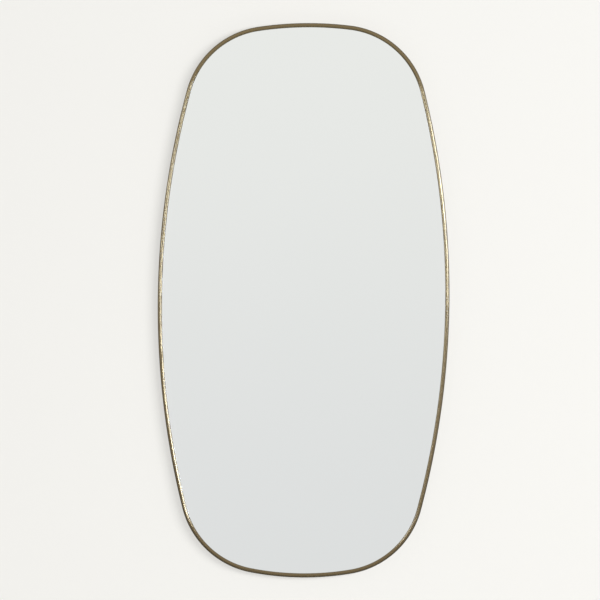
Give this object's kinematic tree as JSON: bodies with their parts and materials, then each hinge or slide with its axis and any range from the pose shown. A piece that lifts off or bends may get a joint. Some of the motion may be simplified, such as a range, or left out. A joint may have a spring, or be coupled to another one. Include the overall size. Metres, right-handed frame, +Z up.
{
  "type": "irregular shaped wall mirror",
  "caption": "Tall wall mirror with a softly rounded irregular outline and a thin domed brass-finish rim, hung by two hinged D rings on a fibreboard back.",
  "frame": {"origin": "on the wall plane, midway between the pivots of the two hanger rings", "axes": "+X to the right seen from the front, +Y backwards into the wall (the glass faces -Y), +Z up"},
  "size_m": [0.579, 0.026, 1.0999],
  "materials": {
    "aged_brass": "brushed and aged, satin lacquer",
    "silvered_glass": "polished silvered float glass",
    "fibreboard": "raw medium density fibreboard",
    "tab_steel": "plain cold rolled steel",
    "zinc_steel": "bright zinc plated steel",
    "rubber": "matt black moulded rubber",
    "gasket_foam": "black closed cell foam",
    "tape_foam": "white double sided foam tape"
  },
  "bodies": {
    "root": {"rim": "aged_brass", "lip_gasket": "gasket_foam", "mirror_pane": "silvered_glass", "setting_pad_left": "rubber", "setting_pad_right": "rubber", "mounting_tape_1": "tape_foam", "mounting_tape_2": "tape_foam", "mounting_tape_3": "tape_foam", "mounting_tape_4": "tape_foam", "backing_board": "fibreboard", "retaining_tab_01": "tab_steel", "retaining_tab_02": "tab_steel", "retaining_tab_03": "tab_steel", "retaining_tab_04": "tab_steel", "retaining_tab_05": "tab_steel", "retaining_tab_06": "tab_steel", "retaining_tab_07": "tab_steel", "retaining_tab_08": "tab_steel", "retaining_tab_09": "tab_steel", "retaining_tab_10": "tab_steel", "retaining_tab_11": "tab_steel", "retaining_tab_12": "tab_steel", "tab_screws": "zinc_steel", "hanger_strap_left": "zinc_steel", "hanger_strap_right": "zinc_steel", "hanger_screws": "zinc_steel", "wall_bumper_1": "rubber", "wall_bumper_2": "rubber", "wall_bumper_3": "rubber", "wall_bumper_4": "rubber", "bumper_washers": "zinc_steel", "bumper_screws": "zinc_steel"},
    "hanger_ring_left": {"hanger_ring_left": "zinc_steel"},
    "hanger_ring_right": {"hanger_ring_right": "zinc_steel"}
  },
  "joints": [
    {"name": "ring_left_swing", "type": "hinge", "parent": "root", "child": "hanger_ring_left", "pos_m": [-0.2, -0.0055, 0], "axis": [1, 0, 0], "range_deg": [-1.4, 184.5]},
    {"name": "ring_right_swing", "type": "hinge", "parent": "root", "child": "hanger_ring_right", "pos_m": [0.2, -0.0055, 0], "axis": [1, 0, 0], "range_deg": [-1.4, 184.5]}
  ]
}
